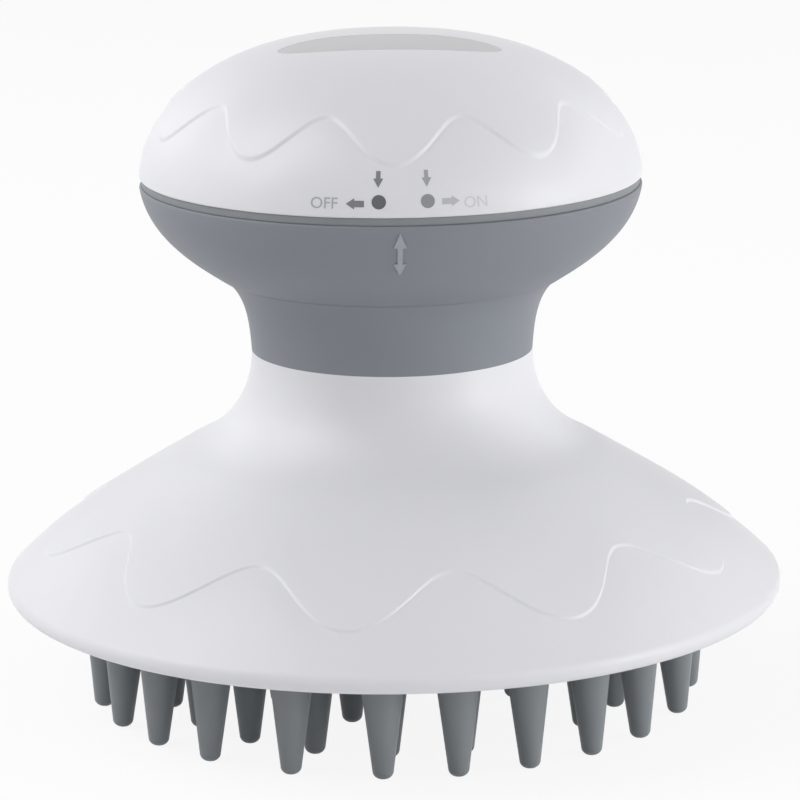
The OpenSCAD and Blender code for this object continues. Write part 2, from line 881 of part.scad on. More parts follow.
module massage_pad() {
    color("#5C6166")
    union() {
        translate([0, 0, pad_z])
            cylinder(r = pad_r, h = pad_t);
        plug_places() {
            translate([0, 0, plate_z - eps])
                cylinder(r = plug_r, h = plate_t + 2 * eps);
            translate([0, 0, plate_top_z])
                cylinder(r1 = plug_head_r, r2 = plug_r - 0.2, h = plug_head_h);
        }
    }
}

// One finger hanging from the pad on the -Y side of a ring, leaning outward
module finger(ring_r, lean) {
    tip_r = tip_d / 2;
    length = (pad_z + tip_flat) / cos(lean) + finger_d;
    centre = length - tip_r;
    intersection() {
        translate([0, -ring_r - length * sin(lean), pad_z - length * cos(lean) + finger_d * cos(lean)])
            rotate([-lean, 0, 0])
                rotate_extrude()
                    polygon(concat(
                        [[0, 0]],
                        [for (a = [72:-18:0]) [tip_r * cos(a), tip_r - tip_r * sin(a)]],
                        [[finger_d / 2, length - finger_d], [finger_d / 2, length], [0, length]]
                    ));
        translate([-finger_d, -ring_r - 3 * finger_d, 0])
            cube([2 * finger_d, 6 * finger_d, pad_z]);
    }
}

module outer_fingers() {
    color("#63686D")
    for (quarter = [0:90:270]) {
        around([for (k = [-2:2]) 25.5 + quarter + k * outer_step])
            finger(outer_ring_r, outer_lean);
        around([quarter - 19.5])
            finger(outer_ring_r, outer_lean);
    }
}

module middle_fingers() {
    color("#575C61")
    around([for (i = [0:middle_count - 1]) 360 * i / middle_count - 19.5])
        finger(outer_ring_r - ring_step, outer_lean / 2);
}

module inner_fingers() {
    color("#4E5358")
    union() {
        around([for (i = [0:inner_count - 1]) 360 * i / inner_count - 19.5])
            finger(inner_ring_r, 0);
        finger(0, 0);
    }
}

// ---------- motor ----------

module motor_can() {
    color("#B4B7BA")
    difference() {
        union() {
            translate([0, 0, motor_z])
                cylinder(r = motor_r, h = motor_len);
            translate([0, 0, motor_top_z - eps])
                cylinder(r = bush_r, h = bush_h + eps);
        }
        translate([0, 0, motor_z - eps])
            cylinder(r = motor_r - can_wall, h = motor_len - can_wall + eps);
        translate([0, 0, motor_z])
            cylinder(r = shaft_d / 2 + run_fit, h = motor_len + bush_h + 1);
        translate([-tag_gate_w, 0, motor_z - eps])
            cube([2 * tag_gate_w, motor_r + 1, endcap_t + 1]);
    }
}

module motor_endcap() {
    color("#303236")
    difference() {
        union() {
            translate([0, 0, motor_z])
                cylinder(r = motor_r - can_wall - fit, h = endcap_t);
            translate([0, 0, motor_z + endcap_t - eps])
                cylinder(r = 2.4, h = 0.9);
            for (side = [-1, 1])
                translate([side * tag_x - tag_w / 2, 0, tag_z])
                    cube([tag_w, motor_r + tag_out, tag_t]);
        }
        translate([0, 0, motor_z + 0.4])
            cylinder(r = shaft_d / 2 + run_fit, h = endcap_t + 2);
    }
}

module motor_magnets() {
    outer = motor_r - can_wall - fit;
    color("#4B4B50")
    around([0, 180])
        rotate([0, 0, -magnet_span / 2])
            rotate_extrude(angle = magnet_span)
                translate([outer - magnet_t, motor_z + endcap_t + 1.2])
                    square([magnet_t, motor_len - can_wall - endcap_t - 1.6]);
}

module motor_clamp() {
    color("#6E7277")
    translate([0, 0, motor_top_z])
        difference() {
            union() {
                cylinder(r = motor_r + 1, h = clamp_t);
                translate([-clamp_screw_r, -clamp_boss_r, 0])
                    cube([2 * clamp_screw_r, 2 * clamp_boss_r, clamp_t]);
                for (side = [-1, 1])
                    translate([side * clamp_screw_r, 0, 0])
                        cylinder(r = clamp_boss_r, h = clamp_t);
            }
            translate([0, 0, -eps])
                cylinder(r = bush_r + fit, h = clamp_t + 2 * eps);
            for (side = [-1, 1])
                translate([side * clamp_screw_r, 0, -eps])
                    cylinder(r = clamp_screw_shank_r + fit, h = clamp_t + 2 * eps);
        }
}

module clamp_screws() {
    color("#A6A8AC")
    for (side = [-1, 1])
        translate([side * clamp_screw_r, 0, motor_top_z + clamp_t])
            pan_screw(clamp_head_r, clamp_head_h, clamp_screw_shank_r, clamp_t + clamp_bite);
}

module motor_armature() {
    outer = motor_r - can_wall - fit - magnet_t - magnet_gap;
    core_z = motor_z + endcap_t + 2;
    core_h = motor_len - can_wall - endcap_t - 3.2;
    commutator_h = 0.9;
    color("#A5683A")
    difference() {
        union() {
            translate([0, 0, core_z])
                cylinder(r = outer, h = core_h);
            translate([0, 0, core_z - commutator_h])
                cylinder(r = 2.2, h = commutator_h + 1);
        }
        around([for (i = [0:pole_count - 1]) 360 * i / pole_count])
            translate([3.4, -pole_slot_w / 2, core_z - eps])
                cube([outer, pole_slot_w, core_h + 2 * eps]);
        translate([0, 0, motor_z])
            cylinder(r = shaft_d / 2 + 0.02, h = motor_len);
    }
}

module motor_shaft() {
    color("#C2C4C6")
    translate([0, 0, motor_z + 0.5])
        cylinder(r = shaft_d / 2, h = weight_z + weight_h + 0.4 - motor_z - 0.5);
}

module eccentric_weight() {
    color("#8E8A84")
    translate([0, 0, weight_z])
        difference() {
            union() {
                cylinder(r = hub_r, h = weight_h);
                intersection() {
                    cylinder(r = weight_r, h = weight_h);
                    translate([0, -weight_r, 0])
                        cube([weight_r, 2 * weight_r, weight_h]);
                }
            }
            translate([0, 0, -eps])
                cylinder(r = shaft_d / 2 + 0.02, h = weight_h + 2 * eps);
        }
}

cap_shell();
badge_plate();
switch_wiper();
lid_screw();
contact_lid();
lid_bridges();
switch_pads();
cap_seal();
grip_bowl();
neck_collar();
neck_nut();
housing_screws();
battery_tube();
battery_cells();
cell_springs();
floor_contacts();
motor_leads();
skirt_shell();
base_plate();
base_screws();
massage_pad();
outer_fingers();
middle_fingers();
inner_fingers();
motor_can();
motor_endcap();
motor_magnets();
motor_clamp();
clamp_screws();
motor_armature();
motor_shaft();
eccentric_weight();
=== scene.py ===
# %% [markdown]
# # Electric scalp massager
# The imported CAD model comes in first. It stays where it is, and everything made below is dressed around it.
# The real one is a white moulded cap and bell, a grey grip between them and soft grey fingers underneath.

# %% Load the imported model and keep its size
from bisect import bisect_left
from math import atan2, cos, degrees, hypot, pi, radians, sin

import bpy
from mathutils import Matrix, Vector


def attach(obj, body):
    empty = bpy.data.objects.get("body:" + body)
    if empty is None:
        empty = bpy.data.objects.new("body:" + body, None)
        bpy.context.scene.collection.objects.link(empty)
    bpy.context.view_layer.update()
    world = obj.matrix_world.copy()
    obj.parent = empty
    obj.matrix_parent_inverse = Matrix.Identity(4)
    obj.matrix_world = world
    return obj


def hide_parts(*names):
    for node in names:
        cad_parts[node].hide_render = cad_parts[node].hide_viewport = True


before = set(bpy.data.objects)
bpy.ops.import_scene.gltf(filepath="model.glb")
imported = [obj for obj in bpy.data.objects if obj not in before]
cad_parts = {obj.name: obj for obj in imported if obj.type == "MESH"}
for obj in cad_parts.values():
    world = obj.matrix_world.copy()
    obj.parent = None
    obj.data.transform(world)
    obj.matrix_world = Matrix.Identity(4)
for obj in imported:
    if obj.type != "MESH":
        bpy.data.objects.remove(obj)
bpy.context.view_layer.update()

MM = 0.001

# %% [markdown]
# ## Camera
# The photograph was taken from a little above and quite far away, because the two ends of every ellipse
# look almost alike. A long lens at that place gives the same outline. The tilt of half a degree is in the
# photograph.

# %% Camera at the photograph's place
SENSOR_MM, LENS_MM = 36, 179.65
CAMERA_PLACE = (0, -0.55031, 0.17095)      # in metres
PITCH_DOWN, YAW_RIGHT, ROLL = 13.173, 0.1086, 0.4522      # in degrees

camera_data = bpy.data.cameras.new("camera")
camera_data.sensor_width = SENSOR_MM
camera_data.lens = LENS_MM
camera = bpy.data.objects.new("camera", camera_data)
bpy.context.scene.collection.objects.link(camera)
camera.location = CAMERA_PLACE
turned = (Matrix.Rotation(-radians(YAW_RIGHT), 3, "Z")
          @ Matrix.Rotation(radians(90 - PITCH_DOWN), 3, "X")
          @ Matrix.Rotation(-radians(ROLL), 3, "Z"))
camera.rotation_euler = turned.to_euler()
bpy.context.scene.camera = camera
bpy.context.scene.view_settings.view_transform = "Standard"

# %% [markdown]
# ## Colours and nodes
# A colour in a paint program is an sRGB hex value, and a shader wants it linear, so one function turns it.
# One more adds a node, with its settings and its links, because a material is mostly a list of those.

# %% Helpers for colours and nodes
def linear(hex_colour, alpha=1.0):
    """An sRGB hex colour such as #E4E4E8 as linear red, green, blue and alpha."""
    parts = [int(hex_colour[i:i + 2], 16) / 255 for i in (1, 3, 5)]
    return [c / 12.92 if c <= 0.04045 else ((c + 0.055) / 1.055) ** 2.4 for c in parts] + [alpha]


def add_node(tree, kind, inputs=None, **settings):
    """Adds a node. Each input gets a value, or a link where its value is another node's socket."""
    made = tree.nodes.new(kind)
    for name, value in settings.items():
        setattr(made, name, value)
    for name, value in (inputs or {}).items():
        if isinstance(value, bpy.types.NodeSocket):
            tree.links.new(value, made.inputs[name])
        else:
            made.inputs[name].default_value = value
    return made


def either(tree, a, b):
    """A socket that is 1 where one of two others is 1."""
    return add_node(tree, "ShaderNodeMath", {0: a, 1: b}, operation="MAXIMUM").outputs[0]


def empty_tree(owner):
    """The node tree of a material or world, switched on and cleared."""
    owner.use_nodes = True
    owner.node_tree.nodes.clear()
    return owner.node_tree


# %% [markdown]
# ## Studio
# The photograph is a cut-out on white. The floor and the world are white to the camera and in reflections,
# and light the object at a plain level. The floor still takes a soft shadow. Seen from below it is
# see-through, so that the fingers can be looked at from there too.

# %% Floor and world
FLOOR_SIZE = 60         # in metres, so that its far edge stays out of the picture
PALE_FLOOR = linear("#FFFFFF")
SHADOW_SHARE = 0.1      # how much of the floor's own shading the camera sees
WORLD_LIGHT = 0.2       # how strongly the world lights the object

bpy.ops.object.select_all(action="DESELECT")
bpy.ops.mesh.primitive_plane_add(size=FLOOR_SIZE)
floor = bpy.context.object
floor.name = "floor"

pale = bpy.data.materials.new("pale_floor")
tree = empty_tree(pale)
path = add_node(tree, "ShaderNodeLightPath")
side = add_node(tree, "ShaderNodeNewGeometry")
matt = add_node(tree, "ShaderNodeBsdfDiffuse", {"Color": PALE_FLOOR})
white = add_node(tree, "ShaderNodeEmission", {"Color": (1, 1, 1, 1), "Strength": 1.0})
lifted = add_node(tree, "ShaderNodeMixShader", {0: SHADOW_SHARE, 1: white.outputs[0], 2: matt.outputs[0]})
seen = either(tree, path.outputs["Is Camera Ray"], path.outputs["Is Glossy Ray"])
top = add_node(tree, "ShaderNodeMixShader", {0: seen, 1: matt.outputs[0], 2: lifted.outputs[0]})
clear = add_node(tree, "ShaderNodeBsdfTransparent")
both = add_node(tree, "ShaderNodeMixShader",
                {0: side.outputs["Backfacing"], 1: top.outputs[0], 2: clear.outputs[0]})
add_node(tree, "ShaderNodeOutputMaterial", {"Surface": both.outputs[0]})
floor.data.materials.append(pale)

world = bpy.data.worlds.new("studio")
bpy.context.scene.world = world
tree = empty_tree(world)
path = add_node(tree, "ShaderNodeLightPath")
seen = either(tree, path.outputs["Is Camera Ray"], path.outputs["Is Glossy Ray"])
seen = either(tree, seen, path.outputs["Is Transmission Ray"])
strength = add_node(tree, "ShaderNodeMapRange", {"Value": seen, "To Min": WORLD_LIGHT, "To Max": 1.0})
sky = add_node(tree, "ShaderNodeBackground", {"Color": (1, 1, 1, 1), "Strength": strength.outputs[0]})
add_node(tree, "ShaderNodeOutputWorld", {"Surface": sky.outputs[0]})

# %% [markdown]
# ## Lamps
# The white parts are brightest on the left, from a large soft box high up there. A large one at each side
# puts a broad sheen on both sides of the cap and the bell. The undersides of the grip and the fingers are
# brightest on the right, from two low ones. Two behind open up the shadows.

# %% Soft boxes
AIM = Vector((0, 0, 0.06))      # in metres, where bowl and neck meet


def soft_box(name, place, size, power):
    """A square area lamp with a side in metres and a power in watts, turned towards the massager."""
    data = bpy.data.lights.new(name, "AREA")
    data.size = size
    data.energy = power
    lamp = bpy.data.objects.new(name, data)
    bpy.context.scene.collection.objects.link(lamp)
    lamp.location = place
    lamp.rotation_euler = (AIM - Vector(place)).to_track_quat("-Z", "Y").to_euler()


soft_box("left_high", (-0.62, -0.15, 0.75), 0.7, 4.6)
soft_box("left_side", (-0.85, 0.0, 0.3), 0.8, 1.4)
soft_box("right_side", (0.85, 0.0, 0.3), 0.8, 2.7)
soft_box("right_front", (0.55, -0.75, 0.22), 0.6, 1.5)
soft_box("right_low", (0.8, -0.3, 0.13), 0.26, 1.6)
soft_box("back_left", (-0.6, 0.55, 0.5), 0.6, 1.3)
soft_box("back_right", (0.6, 0.55, 0.5), 0.6, 0.9)

# %% [markdown]
# ## Tools for shaping
# Nearly every outside part of the massager is round, so the main tool is a lathe: one point is extruded
# along the part's outline and the line is spun round the axis. Outlines are written in millimetres as
# radius and height, with the same numbers as the CAD model.

# %% Selecting, outlines and the lathe
def only(obj):
    """Selects this object and nothing else."""
    bpy.ops.object.select_all(action="DESELECT")
    obj.select_set(True)
    bpy.context.view_layer.objects.active = obj
    return obj


def bezier(a, b, c, d, steps):
    """Points on a cubic curve with end points a and d and handles b and c."""
    curve = []
    for i in range(steps + 1):
        t = i / steps
        share = ((1 - t) ** 3, 3 * t * (1 - t) ** 2, 3 * t * t * (1 - t), t ** 3)
        curve.append(tuple(sum(w * p[k] for w, p in zip(share, (a, b, c, d))) for k in (0, 1)))
    return curve


def arc(centre, radius, start, end, steps):
    """Points on an arc, from angle start to angle end in degrees."""
    turns = [radians(start + (end - start) * i / steps) for i in range(steps + 1)]
    return [(centre[0] + radius * cos(t), centre[1] + radius * sin(t)) for t in turns]


def drawn_line(name, places):
    """A new object: one point extruded through places. It stays in edit mode."""
    bpy.ops.object.select_all(action="DESELECT")
    bpy.ops.mesh.primitive_plane_add(size=MM)
    obj = bpy.context.object
    obj.name = obj.data.name = name
    bpy.ops.object.mode_set(mode="EDIT")
    bpy.ops.mesh.merge(type="CENTER")
    bpy.ops.transform.translate(value=places[0])
    for before, after in zip(places, places[1:]):
        bpy.ops.mesh.extrude_region_move(TRANSFORM_OT_translate={"value": after - before})
    bpy.ops.mesh.select_all(action="SELECT")
    return obj


WEDGES = 24
WELD = 0.002 * MM       # points nearer than this become one


def lathe(name, outline, steps=480, first=0.0, turn=360.0, closed=True):
    """Spins an outline of (radius, height) points in mm about the axis.

    A part turn goes clockwise seen from above, starts at the angle first, and gets its two ends filled.
    A full turn is spun as one wedge, which is then repeated round, because that is much quicker."""
    full = turn == 360
    if closed:
        outline = outline + outline[:1]
    across, along = sin(radians(first)), -cos(radians(first))
    obj = drawn_line(name, [Vector((r * across, r * along, z)) * MM for r, z in outline])
    round_axis = {"center": (0, 0, 0), "axis": (0, 0, 1)}
    if full:
        wedge = 2 * pi / WEDGES
        bpy.ops.mesh.spin(steps=steps // WEDGES, angle=wedge, **round_axis)
        bpy.ops.mesh.select_all(action="SELECT")
        bpy.ops.mesh.spin(steps=WEDGES - 1, dupli=True, angle=2 * pi - wedge, **round_axis)
    else:
        bpy.ops.mesh.spin(steps=steps, angle=radians(turn), **round_axis)
    bpy.ops.mesh.select_all(action="SELECT")
    bpy.ops.mesh.remove_doubles(threshold=WELD)
    if not full:
        bpy.ops.mesh.fill_holes(sides=len(outline))
        bpy.ops.mesh.select_all(action="SELECT")
    bpy.ops.mesh.normals_make_consistent(inside=False)
    bpy.ops.object.mode_set(mode="OBJECT")
    return obj


def smooth(obj, angle=32):
    """Smooth shading, but for edges sharper than an angle."""
    only(obj)
    bpy.ops.object.shade_smooth_by_angle(angle=radians(angle))
    return obj


def count(obj):
    """Prints a piece's size and how many faces it has."""
    size = [round(d / MM, 2) for d in obj.dimensions]
    print(obj.name, size, "mm,", len(obj.data.polygons), "faces")
    return obj


def cut(obj, cutters, operation="DIFFERENCE"):
    """Cuts one or more shapes out of obj, or adds them to it with UNION, and removes them."""
    for cutter in cutters:
        only(obj)
        work = obj.modifiers.new("cut", "BOOLEAN")
        work.operation = operation
        work.solver = "EXACT"
        work.object = cutter
        bpy.ops.object.modifier_apply(modifier=work.name)
        bpy.data.objects.remove(cutter)
    return obj


def join(name, pieces):
    """Joins pieces into one object with a name."""
    bpy.ops.object.select_all(action="DESELECT")
    for piece in pieces:
        piece.select_set(True)
    bpy.context.view_layer.objects.active = pieces[0]
    if len(pieces) > 1:
        bpy.ops.object.join()
    obj = bpy.context.object
    obj.name = obj.data.name = name
    return obj


# %% [markdown]
# ## Places on a curved outside
# The moulded waves and the printed marks lie on round skins. A place there is an angle round the axis, from
# the front towards the right, and a distance along the outline.

# %% An outline measured along its length
class Skin:
    """An outline with its length measured, so that a point on it is found by distance or by height."""

    def __init__(self, outline):
        self.points = outline
        self.lengths = [0.0]
        for (r0, z0), (r1, z1) in zip(outline, outline[1:]):
            self.lengths.append(self.lengths[-1] + hypot(r1 - r0, z1 - z0))

    def at(self, distance):
        """The point at a distance in mm from the start, and the outward direction there."""
        i = min(max(bisect_left(self.lengths, distance), 1), len(self.lengths) - 1)
        (r0, z0), (r1, z1) = self.points[i - 1], self.points[i]
        step = self.lengths[i] - self.lengths[i - 1]
        t = (distance - self.lengths[i - 1]) / step
        return (r0 + (r1 - r0) * t, z0 + (z1 - z0) * t), ((z0 - z1) / step, (r1 - r0) / step)

    def distance_at(self, height):
        """How far along the outline it comes down to a height in mm."""
        for i in range(1, len(self.points)):
            z0, z1 = self.points[i - 1][1], self.points[i][1]
            if z0 >= height >= z1 and z0 > z1:
                step = self.lengths[i] - self.lengths[i - 1]
                return self.lengths[i - 1] + step * (z0 - height) / (z0 - z1)
        return self.lengths[-1]

    def place(self, angle, distance, lift):
        """The point in metres at an angle in degrees, a distance and a height above the skin in mm."""
        (r, z), (out_r, out_z) = self.at(distance)
        r, z = r + out_r * lift, z + out_z * lift
        return Vector((r * sin(radians(angle)), -r * cos(radians(angle)), z)) * MM

    def moved_in(self, wall, steps):
        """The outline moved inwards by a wall in mm, as evenly spaced points."""
        inner = []
        for i in range(steps + 1):
            (r, z), (out_r, out_z) = self.at(self.lengths[-1] * i / steps)
            inner.append((r - out_r * wall, z - out_z * wall))
        return inner


def ease(t):
    """A soft step from 0 to 1."""
    t = min(1.0, max(0.0, t))
    return t * t * (3 - 2 * t)


# %% [markdown]
# ## The moulded wave
# A soft step runs round the cap, and another round the bell, in ten waves. What lies above the line stands
# a few tenths of a millimetre higher. To draw it with few faces, the rows of the lathe's mesh are slid
# along the outline until they follow the line, and then each row is lifted or sunk as the step needs. No
# operator does that, so it is a short loop over the points.

# %% Rows that follow a wave
WAVES = 10
ON_A_ROW, ON_THE_AXIS = 0.02, 0.01      # how near in mm a point has to be to count as there


class Wave:
    """Waves round a skin, between a low and a high height in mm, with a low point at an angle."""

    def __init__(self, skin, low_z, high_z, low_angle, width, step, fade_up, fade_down):
        self.skin = skin
        self.low_z = low_z
        self.high_z = high_z
        self.low_angle = low_angle
        self.width = width              # over which the step rises
        self.step = step                # its height
        self.fade_up = fade_up          # over which it fades out above the line
        self.fade_down = fade_down      # and below it
        self.middle = (skin.distance_at(low_z) + skin.distance_at(high_z)) / 2
        self.known = {}

    def line(self, angle):
        """Distance along the skin of the wave at an angle."""
        angle = round(angle, 2)
        if angle not in self.known:
            share = 0.5 + 0.5 * cos(radians(WAVES * (angle - self.low_angle)))
            self.known[angle] = self.skin.distance_at(self.high_z + (self.low_z - self.high_z) * share)
        return self.known[angle]

    def lift(self, angle, distance):
        """Height of the moulded step at a place."""
        off = distance - self.line(angle)
        half = self.width / 2
        if off < 0:
            fade = 1 - ease((-off - half) / self.fade_up)
        else:
            fade = 1 - ease((off - half) / self.fade_down)
        return self.step / 2 * fade * (1 - 2 * ease((off + half) / self.width))

    def rows(self, length, above, below):
        """Rows from the start to a length, as (distance, share of the wave that the row follows)."""
        band = [self.middle + self.width * k / 8 for k in range(-7, 8)]
        upper = [band[0] * (i / above) for i in range(above)]
        lower = [band[-1] + (length - band[-1]) * (i / below) for i in range(1, below + 1)]
        made = [(d, ease(d / band[0])) for d in upper] + [(d, 1.0) for d in band]
        return made + [(d, 1 - ease((d - band[-1]) / (length - band[-1]))) for d in lower]

    def press(self, obj, rows):
        """Slides the rows of obj that lie on the skin to the wave, and presses the step into them."""
        places = [(self.skin.at(d)[0], d, share) for d, share in rows]
        nearest = {}
        for v in obj.data.vertices:
            r, z = round(hypot(v.co.x, v.co.y) / MM, 2), round(v.co.z / MM, 2)
            if (r, z) not in nearest:
                nearest[r, z] = min(places, key=lambda p: abs(p[0][0] - r) + abs(p[0][1] - z))
            (r0, z0), d, share = nearest[r, z]
            if abs(r0 - r) + abs(z0 - z) > ON_A_ROW or r < ON_THE_AXIS:
                continue
            angle = degrees(atan2(v.co.x, -v.co.y))
            d += share * (self.line(angle) - self.middle)
            v.co = self.skin.place(angle, d, self.lift(angle, d))
        obj.data.update()


# %% [markdown]
# ## White cap
# The cap is a moulded dome, a bit fuller at the sides than a ball. It has a wall of 1.8 mm, a straight
# mouth that slides over the collar, three bayonet lugs, and a boss for the screw that it turns on. An oval
# recess in front of its middle takes the plate.

# %% Outline of the dome
CAP_Z, CAP_H, CAP_R = 74.8, 19.5, 35.1
CAP_WALL, BORE_R = 1.8, 32.0
CAP_EDGE = 0.25         # rounding of the lower edge
PLATE_T = 0.6
DOME_TOP, DOME_SIDE = 1.84, 2.61        # both would be 2 for a ball


def dome(radius, height, steps=120):
    """Outline of a dome from its top to its edge."""
    rise = [sin(pi / 2 * (1 - i / steps)) for i in range(steps + 1)]
    return [(radius * max(0.0, 1 - t ** DOME_TOP) ** (1 / DOME_SIDE), CAP_Z + height * t) for t in rise]


cap_skin = Skin(dome(CAP_R, CAP_H))
cap_wave = Wave(cap_skin, low_z=81.5, high_z=87.0, low_angle=1.0, width=0.85, step=0.3,
                fade_up=9, fade_down=6)
cap_length = cap_skin.distance_at(CAP_Z + CAP_EDGE)
cap_rows = cap_wave.rows(cap_length, above=16, below=10)
inner_height = CAP_H - CAP_WALL - PLATE_T / 2
inner_dome = [p for p in dome(CAP_R - CAP_WALL, inner_height, steps=24) if p[0] < BORE_R]
shoulder_z = min(z for r, z in inner_dome)
cap_outline = (
    [cap_skin.at(d)[0] for d, share in cap_rows]
    + arc((CAP_R - CAP_EDGE, CAP_Z + CAP_EDGE), CAP_EDGE, -18, -90, 4)
    + [(BORE_R + 0.2, CAP_Z), (BORE_R, CAP_Z + 0.2), (BORE_R, shoulder_z)]
    + inner_dome[::-1]
)
white_cap = lathe("white_cap", cap_outline, closed=False)
cap_wave.press(white_cap, cap_rows)
count(white_cap)

# %% Lugs and boss inside the cap
BAYONET = (120, 240, 360)       # angles of the three lugs and slots, in degrees from the front
LUG_TURN, LUG_LOW, LUG_HIGH = 8, 75.6, 77.2
LUG_IN_R, LUG_OUT_R = BORE_R - 1.1, BORE_R + 0.5
BOSS_R, BOSS_Z, BOSS_TOP, BOSS_EDGE = 3.2, 89.5, 93, 0.1


def rectangle(in_r, out_r, low, high):
    """The outline of a ring with plain sides."""
    return [(in_r, low), (out_r, low), (out_r, high), (in_r, high)]


lugs = []
for angle in BAYONET:
    lugs.append(lathe("lug", rectangle(LUG_IN_R, LUG_OUT_R, LUG_LOW, LUG_HIGH),
                      steps=12, first=angle + LUG_TURN / 2, turn=LUG_TURN))
boss_outline = [(0, BOSS_Z), (BOSS_R - BOSS_EDGE, BOSS_Z), (BOSS_R, BOSS_Z + BOSS_EDGE),
                (BOSS_R, BOSS_TOP), (0, BOSS_TOP)]
boss = lathe("boss", boss_outline, steps=48, closed=False)
cut(white_cap, [join("inside", lugs + [boss])], "UNION")
count(white_cap)

# %% [markdown]
# ## Oval plate
# A thin satin plate is set into the top of the cap. On the real one it carries printed words, which are
# left off. It is a disc drawn out to an oval and laid on the dome. The same shape, a little larger, cuts
# the recess for it.

# %% Oval plate and its recess
PLATE_LENGTH, PLATE_WIDTH = 30.6, 10.6
PLATE_FRONT = 6.0       # how far its middle lies in front of the axis
PLATE_GAP, PLATE_SUNK, PLATE_EDGE = 0.12, 0.02, 0.12


def oval_on_dome(name, grow, low, high):
    """An oval slab, larger than the plate by grow, that follows the dome from low to high above it in mm."""
    rings = [(i / 10, 0) for i in range(11)]
    obj = lathe(name, rings, steps=96, closed=False)
    for v in obj.data.vertices:
        x = v.co.x / MM * (PLATE_LENGTH / 2 + grow)
        y = v.co.y / MM * (PLATE_WIDTH / 2 + grow) - PLATE_FRONT
        spread = hypot(x, y)
        top = next(z0 + (z1 - z0) * (spread - r0) / (r1 - r0)
                   for (r0, z0), (r1, z1) in zip(cap_skin.points, cap_skin.points[1:]) if r1 >= spread)
        v.co = Vector((x, y, top)) * MM
    only(obj)
    slab = obj.modifiers.new("slab", "SOLIDIFY")
    slab.thickness = (high - low) * MM
    slab.offset = 0
    bpy.ops.object.modifier_apply(modifier=slab.name)
    bpy.ops.object.mode_set(mode="EDIT")
    bpy.ops.mesh.select_all(action="SELECT")
    bpy.ops.mesh.normals_make_consistent(inside=False)
    bpy.ops.transform.translate(value=(0, 0, (high + low) / 2 * MM))
    bpy.ops.object.mode_set(mode="OBJECT")
    return obj


cut(white_cap, [oval_on_dome("recess", PLATE_GAP, -PLATE_T, 1.0)])
smooth(white_cap)
count(white_cap)

oval_plate = oval_on_dome("oval_plate", 0, -PLATE_T, -PLATE_SUNK)
only(oval_plate)
edge = oval_plate.modifiers.new("edge", "BEVEL")
edge.width = PLATE_EDGE * MM
edge.segments = 3
edge.limit_method = "ANGLE"
edge.angle_limit = radians(50)
bpy.ops.object.modifier_apply(modifier=edge.name)
count(smooth(oval_plate))

# %% [markdown]
# ## Rubber ring
# A flat rubber ring closes the joint between cap and grip. It stands back a little from the outside, and
# that gives the dark line round the massager.

# %% Rubber ring
SEAT_Z = 73.7
RING_R, RING_IN_R, RING_EDGE = 34.8, 31.7, 0.15
ring_outline = (
    [(RING_IN_R, SEAT_Z)]
    + arc((RING_R - RING_EDGE, SEAT_Z + RING_EDGE), RING_EDGE, -90, 0, 4)
    + arc((RING_R - RING_EDGE, CAP_Z - RING_EDGE), RING_EDGE, 0, 90, 4)
    + [(RING_IN_R, CAP_Z)]
)
rubber_ring = smooth(lathe("rubber_ring", ring_outline))
count(rubber_ring)

# %% [markdown]
# ## Grip bowl
# The bowl fills the palm. It curves out from the neck to the full width and ends in a rounded edge under
# the rubber ring. A collar with the bayonet slots stands up inside the cap, and a floor carries the battery
# tube.

# %% Grip bowl with its collar
DECK_Z, CREASE_R = 60.7, 24.1
FLANGE_Z, DECK_IN_R = 62.7, 15.4
BOWL_WALL, BOWL_EDGE = 2.2, 0.3
COLLAR_R, COLLAR_IN_R, COLLAR_TOP, COLLAR_EDGE = 31.6, 29.4, 79.2, 0.3
BOWL_START, BOWL_SWELL = (28.26, 63.4), (34.05, 67.01)      # handles of its curve
bowl_curve = bezier((CREASE_R, DECK_Z), BOWL_START, BOWL_SWELL, (CAP_R, SEAT_Z - BOWL_EDGE), 28)
bowl_skin = Skin(bowl_curve[::-1])
bowl_inside = [p for p in bowl_skin.moved_in(BOWL_WALL, 14) if FLANGE_Z < p[1] < SEAT_Z - 3.5]
bowl_outline = (
    bowl_curve[:-1]
    + arc((CAP_R - BOWL_EDGE, SEAT_Z - BOWL_EDGE), BOWL_EDGE, 0, 90, 5)
    + [(COLLAR_R, SEAT_Z), (COLLAR_R, COLLAR_TOP - COLLAR_EDGE), (COLLAR_R - COLLAR_EDGE, COLLAR_TOP),
       (COLLAR_IN_R + COLLAR_EDGE, COLLAR_TOP), (COLLAR_IN_R, COLLAR_TOP - COLLAR_EDGE),
       (COLLAR_IN_R, SEAT_Z - 2)]
    + bowl_inside
    + [(bowl_inside[-1][0] - 0.4, FLANGE_Z), (DECK_IN_R, FLANGE_Z), (DECK_IN_R, DECK_Z)]
)
grip_bowl = lathe("grip_bowl_dressed", bowl_outline)

# %% Bayonet slots in the collar
SLOT_IN_R, SLOT_OUT_R, SLOT_Z = 30.3, 33, 75.3
# Each slot from an angle to an angle, up to a height: where the lug turns, and its way out over the top
SLOT_PARTS = ((-11.1, 9.3, 77.5), (-4.6, 9.3, 81))
slots = []
for angle in BAYONET:
    for low, high, top_z in SLOT_PARTS:
        slots.append(lathe("slot", rectangle(SLOT_IN_R, SLOT_OUT_R, SLOT_Z, top_z),
                           steps=16, first=angle + high, turn=high - low))
cut(grip_bowl, slots)
count(smooth(grip_bowl))

# %% [markdown]
# ## Neck
# The waisted neck is a part of its own, as the fine crease under the bowl shows. Its spigot goes down into
# the bell and isn't seen.

